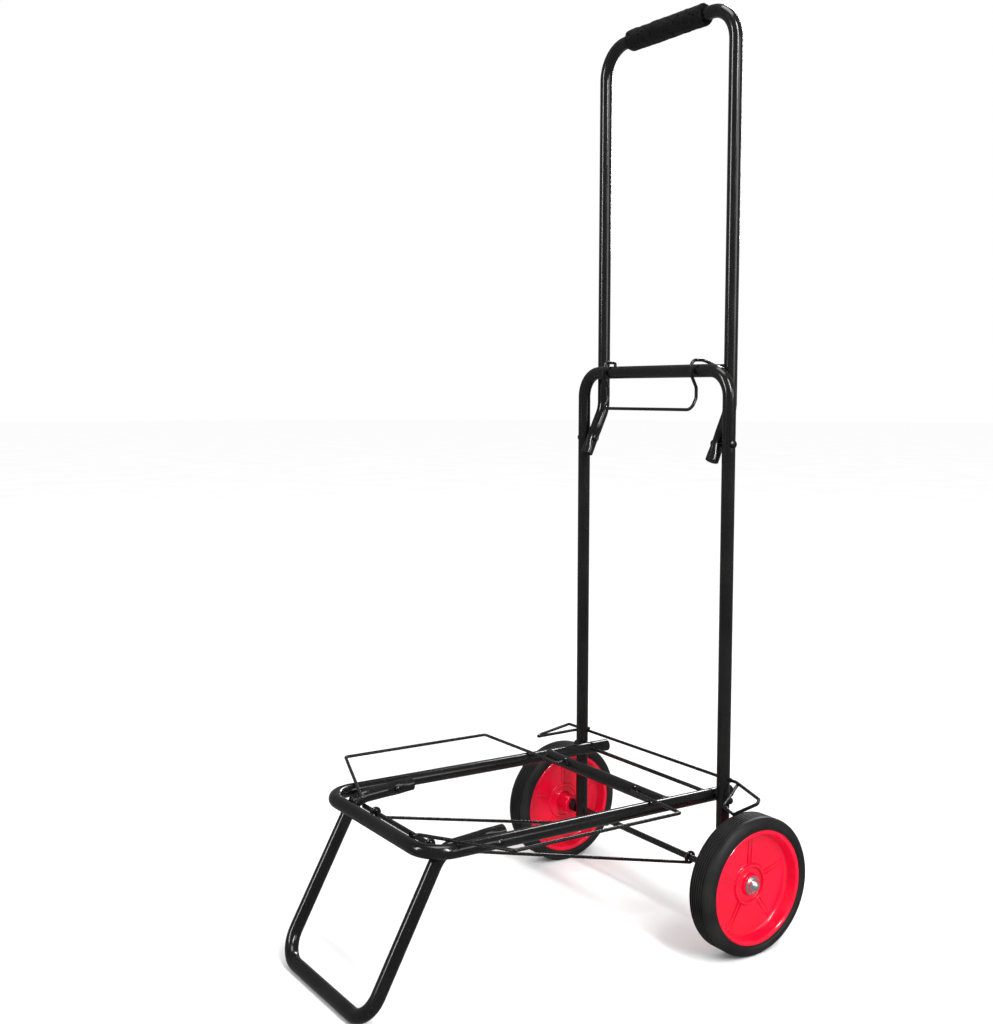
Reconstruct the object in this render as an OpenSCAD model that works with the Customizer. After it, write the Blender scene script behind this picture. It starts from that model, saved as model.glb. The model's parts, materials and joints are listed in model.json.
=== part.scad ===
// Folding hand truck with a U-shaped handle, a folding platform, side wings and a front leg.
// X runs along the axle, the platform reaches out towards -Y and Z is up. All sizes are in millimetres.

/* [Tubes and wires] */
// Outer diameter of every frame tube
tube_d = 16; // [14:0.5:18]
// Wall thickness of the tubes
tube_wall = 1.2; // [1:0.1:2]
// Diameter of the bent wires
wire_d = 4; // [3:0.5:4]
// Diameter of the rivet shanks
rivet_d = 5; // [4:0.5:6]

/* [Main frame] */
// Half the distance between the centrelines of the frame's legs
frame_half = 138; // [135:1:150]
// Height of the frame's crossbar above the ground
crossbar_z = 688; // [660:1:720]
// Radius of the frame's bent corners, at the centreline
frame_bend = 32; // [26:1:36]
// How far the frame's legs reach below the axle
foot_drop = 18; // [14:1:24]

/* [Handle] */
// Height of the handle's crossbar above the ground
handle_z = 1115; // [1050:1:1150]
// Radius of the handle's bent corners, at the centreline
handle_bend = 41; // [34:1:46]
// Height of the handle's pivots above the ground
handle_pivot_z = 601; // [590:1:612]
// How far the handle's legs stand behind the frame
handle_offset = 19; // [18.5:0.5:22]
// Height over which the handle's lower ends slope forward to the pivots
crank_rise = 40; // [36:1:44]
// Length of the foam grip
grip_length = 138; // [120:1:146]
// Outer diameter of the foam grip
grip_d = 28; // [24:1:32]

/* [Platform] */
// Height of the platform's pivot rod above the ground
platform_pivot_z = 173.5; // [170:0.5:178]
// Distance from the pivot rod to the platform's front bar
platform_length = 403; // [396:1:408]
// Angle by which the platform rises towards its front, in degrees
platform_tilt = 1.1; // [1:0.1:1.2]
// Radius of the platform's bent corners, at the centreline
platform_bend = 34; // [28:1:38]
// How far the side tubes reach behind the pivot rod
platform_tail = 28; // [22:1:29]
// Distance from the pivot rod to the rear crossbar
crossbar_s = 72.5; // [68:0.5:78]
// Diameter of the pivot rod
pivot_rod_d = 5; // [4:0.5:6]

/* [Side wings] */
// Half the distance between the wings' hinge lines
wing_hinge_half = 70; // [66:1:74]
// Height of the hinge lines above the side tubes' centrelines
wing_hinge_h = 5; // [4.9:0.1:5.4]
// Reach of a wing from its hinge line to its rail
wing_reach = 124; // [118:1:128]
// Angle by which an open wing rises towards its rail, in degrees
wing_rise = 6.1; // [6:0.1:6.4]

/* [Front leg] */
// Half the distance between the leg's tubes
leg_half = 100; // [99:0.5:101]
// Distance from the pivot rod to the leg's rivets
leg_pivot_s = 318; // [314:1:322]
// Distance from the leg's rivets to its kinks
leg_crank = 57; // [54:1:60]
// How far the leg's bottom bar stands in front of the axle
leg_reach = 467; // [462:1:472]
// Radius of the leg's bottom corners, at the centreline
leg_bend = 32; // [26:1:36]

/* [Wheels] */
// Outer diameter of the tyres
wheel_d = 165; // [160:1:168]
// Width of the tyres
tyre_w = 35.5; // [32:0.5:38]
// Distance from the middle of the truck to the inner face of a tyre
wheel_in = 165; // [164:0.5:168]
// Outer diameter of the hubs
hub_d = 137; // [132:1:140]
// Diameter of the axle
axle_d = 8; // [7:0.5:9]

/* [Hidden] */
$fn = 48;

tube_r = tube_d / 2;
bore_r = tube_r - tube_wall;
wire_r = wire_d / 2;
rivet_r = rivet_d / 2;
running = 0.05;        // radial clearance of a pin that turns in its hole
tube_gap = 2;          // gap between the frame's legs and the tubes that fold between them
cut = 60;              // how far a cutting tool runs past what it cuts
weld_t = 0.2;          // half the length of the collar over a seam
weld_rim = 0.02;       // how far the collar stands proud
wheel_r = wheel_d / 2;
axle_z = wheel_r;
foot_z = axle_z - foot_drop;
inner_half = frame_half - tube_d - tube_gap;
origin_y = (leg_reach + tube_r - wheel_r) / 2;
plug_head = 2;         // thickness of a plug's head
plug_depth = 12;       // how far a plug's shank reaches into its tube

black = [0.07, 0.07, 0.075];
red = [0.86, 0.03, 0.12];

// Everything is drawn with the axle at y = 0 and then moved, so that the origin is at the middle of
// the rectangle that the truck covers on the ground.
module place() {
    translate([0, origin_y, 0]) children();
}

// The platform's own frame: +X stays, -Y runs along the side tubes and Z is square to them
module on_platform() {
    place() translate([0, 0, platform_pivot_z]) rotate([-platform_tilt, 0, 0]) children();
}

module both_sides() {
    children();
    mirror([1, 0, 0]) children();
}

// Vector helpers
function length_of(v) = sqrt(v * v);
function unit(v) = v / length_of(v);
function turn_at(p, i) = acos(unit(p[i] - p[i - 1]) * unit(p[i + 1] - p[i]));
function is_corner(p, i) = i > 0 && i < len(p) - 1;
function setback(p, i, bend) = is_corner(p, i) ? bend * tan(turn_at(p, i) / 2) : 0;

// The mirror image of a point, and a path that runs on into its own mirror image
function mirrored(p) = [-p[0], p[1], p[2]];
function symmetric(half) = concat([for (i = [len(half) - 1:-1:0]) mirrored(half[i])], half);

// Turns +Z onto a direction
module point_along(v) {
    rotate([0, acos(v[2] / length_of(v)), atan2(v[1], v[0])]) children();
}

// A round rod from a to b
module rod(a, b, r) {
    translate(a) point_along(b - a) cylinder(r = r, h = length_of(b - a));
}

// One bend of a rod, at corner q between the unit directions u (in) and w (out)
module bend_piece(q, u, w, r, bend) {
    angle = acos(u * w);
    inward = unit(w - u);
    axis = cross(u, w) / length_of(cross(u, w));
    centre = q + inward * bend / cos(angle / 2);
    radial = unit(q - u * bend * tan(angle / 2) - centre);
    side = cross(axis, radial);
    multmatrix([[radial[0], side[0], axis[0], centre[0]],
        [radial[1], side[1], axis[1], centre[1]],
        [radial[2], side[2], axis[2], centre[2]],
        [0, 0, 0, 1]])
        rotate_extrude(angle = angle) translate([bend, 0]) circle(r = r);
}

// A rod of radius r through the points p, with its corners bent to a radius at the centreline
module bent_rod(p, r, bend) {
    for (i = [0:len(p) - 2]) {
        u = unit(p[i + 1] - p[i]);
        rod(p[i] + u * setback(p, i, bend), p[i + 1] - u * setback(p, i + 1, bend), r);
    }
    for (i = [1:len(p) - 2]) {
        u = unit(p[i] - p[i - 1]);
        w = unit(p[i + 1] - p[i]);
        bend_piece(p[i], u, w, r, bend);
        weld(p[i] - u * setback(p, i, bend), u, r);
        weld(p[i] + w * setback(p, i, bend), w, r);
    }
}

// A thin collar over the seam at q, so that the pieces on both sides of it join
module weld(q, v, r) {
    rod(q - v * weld_t, q + v * weld_t, r + weld_rim);
}

// A bent tube with open ends
module bent_tube(p, bend) {
    n = len(p) - 1;
    start = p[0] - unit(p[1] - p[0]);
    end = p[n] + unit(p[n] - p[n - 1]);
    inside = [for (i = [0:n]) i == 0 ? start : i == n ? end : p[i]];
    difference() {
        bent_rod(p, tube_r, bend);
        bent_rod(inside, bore_r, bend);
    }
}

// A plug in the end of a tube at point p, where the tube runs on along v
module plug(p, v) {
    out = -unit(v);
    rod(p + out * plug_head, p, tube_r);
    rod(p + out * plug_head / 2, p - out * plug_depth, bore_r);
}

// A rivet along X with a domed head on both ends
module rivet(x_in, x_out) {
    head_h = 2.4;
    head_r = 5;
    translate([x_in, 0, 0]) rotate([0, 90, 0]) cylinder(r = rivet_r, h = x_out - x_in);
    translate([x_out, 0, 0]) rotate([0, 90, 0]) dome(head_r, head_h);
    translate([x_in, 0, 0]) rotate([0, -90, 0]) dome(head_r, head_h);
}

// A shallow dome with a flat base, pointing up
module dome(r, h) {
    ball_r = (r * r + h * h) / (2 * h);
    rotate_extrude() intersection() {
        translate([0, h - ball_r]) circle(r = ball_r, $fn = 96);
        square([r, h]);
    }
}

module cross_bore(p, r) {
    translate(p) rotate([0, 90, 0]) cylinder(r = r, h = 2 * (frame_half + cut), center = true);
}

// ---- Main frame ----

module main_frame() {
    color(black) place() difference() {
        bent_tube(symmetric([[frame_half, 0, crossbar_z], [frame_half, 0, foot_z]]), frame_bend);
        cross_bore([0, 0, axle_z], axle_d / 2);
        cross_bore([0, 0, platform_pivot_z], pivot_rod_d / 2);
        cross_bore([0, 0, handle_pivot_z], rivet_r);
    }
}

module frame_plugs() {
    color(black) place() both_sides() plug([frame_half, 0, foot_z], [0, 0, 1]);
}

// The wire behind the legs ends in a loop on each side that luggage cords hook into. The loops are
// bent by hand and differ: the right one reaches out level and the left one droops.
hook_y = tube_r + wire_r;
hook_z = 194.5;
hook_bend = 4;

module cord_hook_wire() {
    left = [[-150, hook_y - 2, hook_z - 3.3], [-153, hook_y - 13, hook_z - 3.5],
        [-206, hook_y - 37, hook_z - 21.5], [-213.3, hook_y - 27, hook_z - 21.5], [-181, hook_y, hook_z - 3]];
    right = [[150, hook_y, hook_z], [219.4, hook_y - 28, hook_z + 0.5], [176, hook_y - 30, hook_z - 26.5],
        [155, hook_y - 26, hook_z - 22.5], [155, hook_y - 3.5, hook_z - 1.8]];
    color(black) place() bent_rod(concat(left, right), wire_r, hook_bend);
}

module platform_pivot_rod() {
    color([0.12, 0.12, 0.13]) place() translate([0, 0, platform_pivot_z]) rotate([0, 90, 0])
        cylinder(r = pivot_rod_d / 2, h = 2 * (frame_half + tube_r + 4), center = true);
}

module pivot_caps() {
    cap_r = 4.5;
    cap_l = 7;
    color(black) place() both_sides() translate([frame_half + tube_r, 0, platform_pivot_z]) rotate([0, 90, 0])
        difference() {
            union() {
                cylinder(r = cap_r, h = cap_l - 2);
                translate([0, 0, cap_l - 2]) dome(cap_r, 2);
            }
            translate([0, 0, -1]) cylinder(r = pivot_rod_d / 2, h = 5);
        }
}

module handle_rivets() {
    color([0.3, 0.3, 0.31]) place() both_sides() translate([0, 0, handle_pivot_z])
        rivet(inner_half - tube_r - 0.3, frame_half + tube_r);
}

// ---- Axle ----

spacer_r = 8;
boss_in = wheel_in - 7;
bush_out = wheel_in + 23;
washer_t = 1.5;

module axle() {
    color([0.12, 0.12, 0.13]) place() translate([0, 0, axle_z]) rotate([0, 90, 0])
        cylinder(r = axle_d / 2, h = 2 * (bush_out + washer_t + 4), center = true);
}

// A ring around the axle from x = a to x = b
module axle_ring(a, b, r_out, r_in) {
    translate([a, 0, axle_z]) rotate([0, 90, 0]) difference() {
        cylinder(r = r_out, h = b - a);
        translate([0, 0, -1]) cylinder(r = r_in, h = b - a + 2);
    }
}

module axle_spacers() {
    color(black) place() both_sides()
        axle_ring(frame_half + tube_r, boss_in - 0.3, spacer_r, axle_d / 2);
}

module axle_washers() {
    color([0.8, 0.81, 0.83]) place() both_sides()
        axle_ring(bush_out + 0.3, bush_out + 0.3 + washer_t, 11, axle_d / 2);
}

module axle_nuts() {
    nut_x = bush_out + 0.3 + washer_t;
    color([0.85, 0.86, 0.88]) place() both_sides() translate([nut_x, 0, axle_z]) rotate([0, 90, 0])
        difference() {
            union() {
                cylinder(r = 8.2, h = 3);
                translate([0, 0, 3]) dome(8.2, 5);
            }
            translate([0, 0, -1]) cylinder(r = axle_d / 2, h = 5);
        }
}

// ---- Handle ----

crank_dir = unit([0, handle_offset, crank_rise]);
crank_tail = 22;
handle_end = [inner_half, 0, handle_pivot_z] - crank_dir * crank_tail;
handle_kink = [inner_half, handle_offset, handle_pivot_z + crank_rise];
latch_z = crossbar_z + 6;

module handle_tube() {
    top = [inner_half, handle_offset, handle_z];
    color(black) place() difference() {
        bent_tube(symmetric([top, handle_kink, handle_end]), handle_bend);
        cross_bore([0, 0, handle_pivot_z], rivet_r + running);
        both_sides() translate([inner_half - tube_r - cut, handle_offset, latch_z]) rotate([0, 90, 0])
            cylinder(r = wire_r + running, h = cut + tube_r);
    }
}

module handle_plugs() {
    color(black) place() both_sides() plug(handle_end, crank_dir);
}

module foam_grip() {
    color([0.12, 0.12, 0.12]) place() translate([0, handle_offset, handle_z]) rotate([0, 90, 0])
        difference() {
            cylinder(r = grip_d / 2, h = grip_length, center = true);
            cylinder(r = tube_r, h = grip_length + 2, center = true);
        }
}

// The latch's wire turns in the handle's legs and snaps over the frame's crossbar
latch_half = 84;

module latch_bail() {
    half = [[latch_half, -10.5, -47], [latch_half, -2.5, -33], [latch_half, -2.5, -20],
        [latch_half, -11, -5], [latch_half, -11, 13], [latch_half, 9, 13],
        [96, handle_offset, 6], [inner_half - tube_r + 4, handle_offset, 6]];
    color(black) place() translate([0, 0, crossbar_z]) bent_rod(symmetric(half), wire_r, 8);
}

// ---- Platform ----

module platform_frame() {
    color(black) on_platform() difference() {
        bent_tube(symmetric([[inner_half, -platform_length, 0], [inner_half, platform_tail, 0]]),
            platform_bend);
        cross_bore([0, 0, 0], pivot_rod_d / 2 + running);
        cross_bore([0, -leg_pivot_s, 0], rivet_r);
    }
}

module platform_plugs() {
    color(black) on_platform() both_sides() plug([inner_half, platform_tail, 0], [0, -1, 0]);
}

// The rear crossbar is welded between the side tubes, with its ends cut to fit them
module platform_crossbar() {
    color(black) on_platform() difference() {
        translate([0, -crossbar_s, 0]) rotate([0, 90, 0])
            cylinder(r = tube_r, h = 2 * inner_half, center = true);
        translate([0, -crossbar_s, 0]) rotate([0, 90, 0])
            cylinder(r = bore_r, h = 2 * inner_half + 2, center = true);
        both_sides() rod([inner_half, -crossbar_s - cut, 0], [inner_half, -crossbar_s + cut, 0], tube_r);
    }
}

lug_t = 3;
lug_front_s = platform_length - tube_r - lug_t;
lug_rear_s = crossbar_s + tube_r;

// A small welded plate with the hole that a wing's end turns in
module wing_lug(s) {
    translate([wing_hinge_half, -s - lug_t / 2, wing_hinge_h]) rotate([90, 0, 0]) difference() {
        union() {
            cylinder(r = 5, h = lug_t, center = true);
            translate([-5, -6, -lug_t / 2]) cube([10, 6, lug_t]);
        }
        cylinder(r = wire_r + running, h = lug_t + 2, center = true);
    }
}

module wing_lugs() {
    color(black) on_platform() both_sides() {
        wing_lug(lug_front_s);
        wing_lug(lug_rear_s);
    }
}

module leg_rivets() {
    color([0.3, 0.3, 0.31]) on_platform() both_sides() translate([0, -leg_pivot_s, 0])
        rivet(leg_half - tube_r - 0.3, inner_half + tube_r - 0.1);
}

// ---- Side wings ----

// A wing whose sides stand further in by the nest, so that the folded wings lie one inside the other
module wing(nest) {
    front_s = lug_front_s - 6 - nest;
    rear_s = lug_rear_s + lug_t + 4 + nest;
    rail_front_s = 345 - nest;
    rail_rear_s = 120 + nest;
    color(black) on_platform() translate([wing_hinge_half, 0, wing_hinge_h]) rotate([0, -wing_rise, 0])
        bent_rod([[0, -lug_front_s - lug_t + 0.5, 0], [0, -front_s, 0], [wing_reach, -rail_front_s, 0],
            [wing_reach, -rail_rear_s, 0], [0, -rear_s, 0], [0, -lug_rear_s - 0.5, 0]], wire_r, 4);
}

module wing_right() {
    wing(0);
}

module wing_left() {
    mirror([1, 0, 0]) wing(6);
}

// ---- Front leg ----

// Points of the leg in the truck's upright frame
leg_pivot = [leg_half, -leg_pivot_s * cos(platform_tilt),
    platform_pivot_z + leg_pivot_s * sin(platform_tilt)];
leg_droop = 3;
leg_crank_dir = [0, -cos(leg_droop), -sin(leg_droop)];
leg_kink = leg_pivot + leg_crank_dir * leg_crank;
leg_tail = leg_pivot - leg_crank_dir * 22;
leg_foot = [leg_half, -leg_reach, tube_r];

module leg_tube() {
    color(black) place() difference() {
        bent_tube(symmetric([leg_foot, leg_kink, leg_tail]), leg_bend);
        cross_bore([0, leg_pivot[1], leg_pivot[2]], rivet_r + running);
    }
}

module leg_plugs() {
    color(black) place() both_sides() plug(leg_tail, leg_crank_dir);
}

// ---- Braces ----

brace_rear_half = 82;
brace_front_half = 62;
brace_rod_r = 3;
brace_point = leg_pivot + 50 * [0, -cos(12.5), -sin(12.5)];
eye_wire_r = wire_r + 0.15;
rear_eye_r = axle_d / 2 + 0.3 + eye_wire_r;
front_eye_r = brace_rod_r + 0.1 + eye_wire_r;

module eye(p, r) {
    translate(p) rotate([0, 90, 0]) rotate_extrude() translate([r, 0]) circle(r = eye_wire_r);
}

// A wire from the axle to the leg, with an eye at both ends; the two lean in towards the front
module brace() {
    rear = [brace_rear_half, 0, axle_z];
    front = [brace_front_half, brace_point[1], brace_point[2]];
    along = unit(front - rear);
    below = unit(cross([1, 0, 0], along));
    color(black) place() {
        eye(rear, rear_eye_r);
        eye(front, front_eye_r);
        rod(rear + below * rear_eye_r, front + below * front_eye_r, wire_r);
    }
}

module brace_right() {
    brace();
}

module brace_left() {
    mirror([1, 0, 0]) brace();
}

module brace_rod() {
    color([0.12, 0.12, 0.13]) place() translate([0, brace_point[1], brace_point[2]]) rotate([0, 90, 0])
        cylinder(r = brace_rod_r, h = 2 * (leg_half - tube_r - 0.8), center = true);
}

// ---- Wheels ----

hub_r = hub_d / 2;
bush_r = 7;

module on_wheel() {
    place() translate([wheel_in, 0, axle_z]) rotate([0, 90, 0]) children();
}

// The tyre's section lies in the plane of radius and width
module tyre() {
    shoulder = 7;
    tread_grooves = 5;
    color([0.1, 0.1, 0.1]) on_wheel() difference() {
        rotate_extrude($fn = 96) {
            translate([hub_r, 0]) square([wheel_r - hub_r - shoulder, tyre_w]);
            translate([hub_r, shoulder]) square([wheel_r - hub_r, tyre_w - 2 * shoulder]);
            for (y = [shoulder, tyre_w - shoulder]) {
                translate([wheel_r - shoulder, y]) circle(r = shoulder);
            }
        }
        for (i = [0:tread_grooves - 1]) {
            translate([0, 0, 6 + i * 3.5]) rotate_extrude($fn = 96)
                translate([wheel_r - 0.8, 0]) square([2, 1]);
        }
    }
}

module hub() {
    lip = 1.5;
    rim_wall = 4.5;
    web = 16;
    web_t = 4;
    ribs = 5;
    rib_gap = 5;
    rib_w = 2;
    ring_r = 24;
    boss_r = 13;
    color(red) on_wheel() difference() {
        union() {
            rotate_extrude($fn = 96) {
                translate([hub_r - rim_wall, lip]) square([rim_wall, tyre_w - 2 * lip]);
                translate([bush_r, web]) square([hub_r - bush_r - 1, web_t]);
                translate([ring_r - 3, web - 3]) square([3, web_t + 6]);
                translate([bush_r, boss_in - wheel_in]) square([boss_r - bush_r, bush_out - boss_in]);
            }
            for (i = [0:ribs - 1], side = [-1, 1]) {
                rotate([0, 0, 90 + i * 360 / ribs])
                    translate([ring_r - 1, side * rib_gap / 2 - rib_w / 2, web - 3])
                    cube([hub_r - ring_r - 1, rib_w, web_t + 6]);
            }
        }
        translate([0, 0, boss_in - wheel_in - 1]) cylinder(r = bush_r, h = bush_out - boss_in + 2);
    }
}

module bush() {
    color([0.85, 0.85, 0.85]) place() axle_ring(boss_in, bush_out, bush_r, axle_d / 2 + running);
}

module tyre_right() {
    tyre();
}

module tyre_left() {
    mirror([1, 0, 0]) tyre();
}

module hub_right() {
    hub();
}

module hub_left() {
    mirror([1, 0, 0]) hub();
}

module bush_right() {
    bush();
}

module bush_left() {
    mirror([1, 0, 0]) bush();
}

main_frame();
frame_plugs();
cord_hook_wire();
platform_pivot_rod();
pivot_caps();
handle_rivets();
axle();
axle_spacers();
axle_washers();
axle_nuts();
handle_tube();
handle_plugs();
foam_grip();
latch_bail();
platform_frame();
platform_plugs();
platform_crossbar();
wing_lugs();
leg_rivets();
wing_left();
wing_right();
leg_tube();
leg_plugs();
brace_left();
brace_right();
brace_rod();
tyre_left();
hub_left();
bush_left();
tyre_right();
hub_right();
bush_right();
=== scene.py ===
"""The looks of the folding hand truck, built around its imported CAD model.

Everything is in metres and in the CAD frame: +X runs along the axle, the platform reaches out towards -Y
and +Z is up. Each tube, wire, rivet and wheel is remade here as a fine mesh, at the size it has in the CAD.
"""
import json
import math

import bmesh
import bpy
from mathutils import Matrix, Vector, noise


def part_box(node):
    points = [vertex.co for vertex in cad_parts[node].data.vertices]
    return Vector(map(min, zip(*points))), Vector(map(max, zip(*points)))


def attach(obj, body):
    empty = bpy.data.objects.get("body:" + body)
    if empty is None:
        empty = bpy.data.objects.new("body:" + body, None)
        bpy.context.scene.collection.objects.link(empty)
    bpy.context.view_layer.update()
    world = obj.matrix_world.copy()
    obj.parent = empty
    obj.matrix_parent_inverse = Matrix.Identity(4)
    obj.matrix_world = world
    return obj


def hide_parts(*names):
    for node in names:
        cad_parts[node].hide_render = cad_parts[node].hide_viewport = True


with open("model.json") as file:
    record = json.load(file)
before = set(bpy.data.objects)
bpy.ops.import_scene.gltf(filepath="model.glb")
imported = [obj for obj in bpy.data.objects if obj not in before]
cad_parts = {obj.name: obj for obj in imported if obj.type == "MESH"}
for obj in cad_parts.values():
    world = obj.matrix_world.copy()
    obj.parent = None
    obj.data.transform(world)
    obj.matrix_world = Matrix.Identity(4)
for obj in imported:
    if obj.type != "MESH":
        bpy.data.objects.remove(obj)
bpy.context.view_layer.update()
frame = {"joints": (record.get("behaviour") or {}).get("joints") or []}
JOINTS = {j["name"]: j for j in frame["joints"]}
MM = 0.001
X_AXIS = Vector((1, 0, 0))
Z_AXIS = Vector((0, 0, 1))

# Sizes that many pieces share
TUBE_R = 8 * MM
TUBE_WALL = 1.2 * MM
WIRE_R = 2 * MM
AXLE_R = 4 * MM
RIVET_R = 2.5 * MM
RIVET_HEAD = 2.4 * MM
# How far the handle's and the leg's ends reach past the rivets they turn on
TAIL = 22 * MM
# How far along a tube, and by what share, those ends are pressed flat at their rivets
FLAT_REACH = 17 * MM
FLAT_SHARE = 0.3
# How far a wire's rounded end stands out, as a share of its radius
WIRE_DOME = 0.35
# How steeply the platform rises towards its front
TILT = math.radians(1.1)


def joint_at(name):
    """Where a joint turns"""
    return Vector(JOINTS[name]["pos_m"])


HANDLE_PIVOT = joint_at("handle_fold")
DECK_PIVOT = joint_at("platform_fold")
LEG_PIVOT = joint_at("leg_fold")
AXLE = joint_at("brace_swing")
AXLE_Y = AXLE.y


def deck(x, s, h=0.0):
    """A point of the tilted platform: s in front of its pivot rod and h above its side tubes' centrelines"""
    return DECK_PIVOT + Matrix.Rotation(-TILT, 3, "X") @ Vector((x, -s, h))


# ---- Materials ----

def links(material):
    """A material's nodes, its links and its shader"""
    tree = material.node_tree
    return tree.nodes, tree.links, tree.nodes["Principled BSDF"]


def texture(material, kind, scale, stretch=(1, 1, 1), **settings):
    """A procedural texture in the object's own coordinates"""
    nodes, link, _ = links(material)
    place = nodes.new("ShaderNodeTexCoord")
    mapping = nodes.new("ShaderNodeMapping")
    mapping.inputs["Scale"].default_value = stretch
    node = nodes.new(kind)
    node.inputs["Scale"].default_value = scale
    for name, value in settings.items():
        node.inputs[name].default_value = value
    link.new(place.outputs["Object"], mapping.inputs["Vector"])
    link.new(mapping.outputs["Vector"], node.inputs["Vector"])
    return node


def ramp(material, source, low, high, start=0.3, end=0.7):
    """Maps a texture's value to a run of colours or grey values"""
    nodes, link, _ = links(material)
    node = nodes.new("ShaderNodeValToRGB")
    node.color_ramp.elements[0].position = start
    node.color_ramp.elements[1].position = end
    for element, value in zip(node.color_ramp.elements, (low, high)):
        element.color = (*value, 1) if isinstance(value, tuple) else (value, value, value, 1)
    link.new(source, node.inputs["Fac"])
    return node.outputs["Color"]


def bumps(material, layers):
    """Chains bump nodes: each layer is a texture output, a height in metres and a strength"""
    nodes, link, shader = links(material)
    normal = None
    for source, height, strength in layers:
        node = nodes.new("ShaderNodeBump")
        node.inputs["Distance"].default_value = height
        node.inputs["Strength"].default_value = strength
        link.new(source, node.inputs["Height"])
        if normal:
            link.new(normal, node.inputs["Normal"])
        normal = node.outputs["Normal"]
    link.new(normal, shader.inputs["Normal"])


def plain(name, metallic=0.0, specular=0.5, coat=0.0, coat_roughness=0.1):
    """A material with the values that are the same all over its surface"""
    material = bpy.data.materials.new(name)
    material.use_nodes = True
    shader = material.node_tree.nodes["Principled BSDF"]
    shader.inputs["Metallic"].default_value = metallic
    shader.inputs["Specular IOR Level"].default_value = specular
    shader.inputs["Coat Weight"].default_value = coat
    shader.inputs["Coat Roughness"].default_value = coat_roughness
    return material


def mix(material, factor, a, b):
    """Blends colour a into colour b by a factor that varies over the surface"""
    nodes, link, _ = links(material)
    node = nodes.new("ShaderNodeMix")
    node.data_type = "RGBA"
    link.new(factor, node.inputs["Factor"])
    for socket, value in ((node.inputs[6], a), (node.inputs[7], b)):
        if isinstance(value, tuple):
            socket.default_value = (*value, 1)
        else:
            link.new(value, socket)
    return node.outputs[2]


def surface(material, color, roughness):
    """Joins a colour and a roughness to the shader"""
    _, link, shader = links(material)
    link.new(color, shader.inputs["Base Color"])
    link.new(roughness, shader.inputs["Roughness"])


def powder_coat(name, dark, light, gloss, rough, peel):
    """Black paint: a faint orange peel, cloudy gloss, rubbed streaks and a few specks of dust"""
    m = plain(name, specular=0.4, coat=0.2, coat_roughness=0.09)
    clouds = texture(m, "ShaderNodeTexNoise", 14, Detail=4)
    specks = texture(m, "ShaderNodeTexNoise", 620, Detail=1)
    rubs = texture(m, "ShaderNodeTexNoise", 60, stretch=(6, 6, 0.6), Detail=5)
    skin = texture(m, "ShaderNodeTexNoise", 900, Detail=2)
    dust = ramp(m, specks.outputs["Fac"], 0.0, 1.0, 0.70, 0.78)
    tone = ramp(m, clouds.outputs["Fac"], dark, light, 0.35, 0.7)
    surface(m, mix(m, dust, tone, (0.03, 0.029, 0.028)),
            ramp(m, rubs.outputs["Fac"], gloss, rough, 0.35, 0.7))
    bumps(m, [(skin.outputs["Fac"], peel, 0.5), (clouds.outputs["Fac"], 0.4 * MM, 0.15)])
    return m


def bright_metal(name, color, shade, gloss, rough, grain):
    """Plated metal with fine turning marks, dull patches and a slightly uneven tone"""
    m = plain(name, metallic=1.0)
    marks = texture(m, "ShaderNodeTexNoise", 900, stretch=(4, 1, 1), Detail=3)
    patches = texture(m, "ShaderNodeTexNoise", 160, Detail=4)
    tone = ramp(m, patches.outputs["Fac"], color, shade, 0.45, 0.75)
    surface(m, tone, ramp(m, patches.outputs["Fac"], gloss, rough, 0.35, 0.75))
    bumps(m, [(marks.outputs["Fac"], grain, 0.4)])
    return m


def moulded_plastic(name, color, shade, gloss, rough, grain, specular=0.3, coat=0.0, coat_roughness=0.1):
    """Moulded plastic: flow marks in the colour, scuffs in the gloss and a fine skin"""
    m = plain(name, specular=specular, coat=coat, coat_roughness=coat_roughness)
    flow = texture(m, "ShaderNodeTexNoise", 22, stretch=(0.4, 1, 1), Detail=3, Distortion=0.6)
    scuffs = texture(m, "ShaderNodeTexNoise", 240, stretch=(1, 1, 0.15), Detail=6)
    skin = texture(m, "ShaderNodeTexNoise", 1500, Detail=2)
    tone = ramp(m, flow.outputs["Fac"], color, shade, 0.35, 0.75)
    surface(m, tone, ramp(m, scuffs.outputs["Fac"], gloss, rough, 0.45, 0.8))
    bumps(m, [(skin.outputs["Fac"], grain, 0.35), (flow.outputs["Fac"], 0.6 * MM, 0.12)])
    return m


def tyre_rubber(name):
    """Moulded rubber: a dry bloom in patches and a fine grain"""
    m = plain(name, specular=0.3)
    bloom = texture(m, "ShaderNodeTexNoise", 26, Detail=6, Roughness=0.6)
    grain = texture(m, "ShaderNodeTexNoise", 1100, Detail=3)
    pits = texture(m, "ShaderNodeTexVoronoi", 700)
    tone = ramp(m, bloom.outputs["Fac"], (0.006, 0.006, 0.006), (0.017, 0.0165, 0.0155), 0.35, 0.75)
    surface(m, tone, ramp(m, bloom.outputs["Fac"], 0.5, 0.68, 0.3, 0.7))
    bumps(m, [(grain.outputs["Fac"], 0.12 * MM, 0.5), (pits.outputs["Distance"], 0.1 * MM, 0.2)])
    return m


def foam_rubber(name):
    """Closed-cell foam: tiny open cells with painted shade darkening their hollows, on a slightly lumpy,
    quite matte skin
    """
    m = plain(name, specular=0.12)
    m.node_tree.nodes["Principled BSDF"].inputs["Sheen Weight"].default_value = 0.03
    cells = texture(m, "ShaderNodeTexVoronoi", 900)
    lumps = texture(m, "ShaderNodeTexNoise", 120, Detail=5, Roughness=0.65)
    # Painted shade: the colour darkens towards each cell's middle, where the bump below sinks it into a
    # hollow
    tone = ramp(m, cells.outputs["Distance"], (0.0015, 0.0015, 0.0015), (0.005, 0.0048, 0.0046), 0.1, 0.7)
    surface(m, tone, ramp(m, lumps.outputs["Fac"], 0.82, 0.98))
    bumps(m, [(cells.outputs["Distance"], 0.5 * MM, 0.7), (lumps.outputs["Fac"], 1.2 * MM, 0.5)])
    return m


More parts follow.
